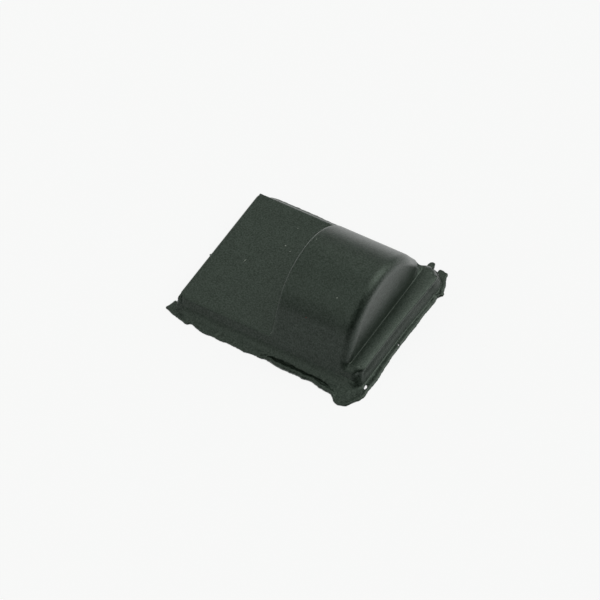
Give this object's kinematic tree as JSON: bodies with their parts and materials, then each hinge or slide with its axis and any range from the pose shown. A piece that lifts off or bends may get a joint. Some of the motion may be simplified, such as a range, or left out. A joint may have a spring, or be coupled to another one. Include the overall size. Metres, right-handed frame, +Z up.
{
  "type": "bump stop",
  "caption": "One-piece moulded rubber bump stop: a flat pad with a wide crowned bumper across one end and a thin torn skirt of flash round its foot.",
  "frame": {"origin": "middle of the moulded underside's rectangle, on the underside", "axes": "+X along the pad towards the bumper's rounded end face, +Y across it, +Z up from the underside to the crown"},
  "size_m": [0.0387, 0.0325, 0.0126],
  "materials": {
    "rubber": "satin"
  },
  "bodies": {
    "root": {"bump_stop": "rubber"}
  },
  "joints": []
}
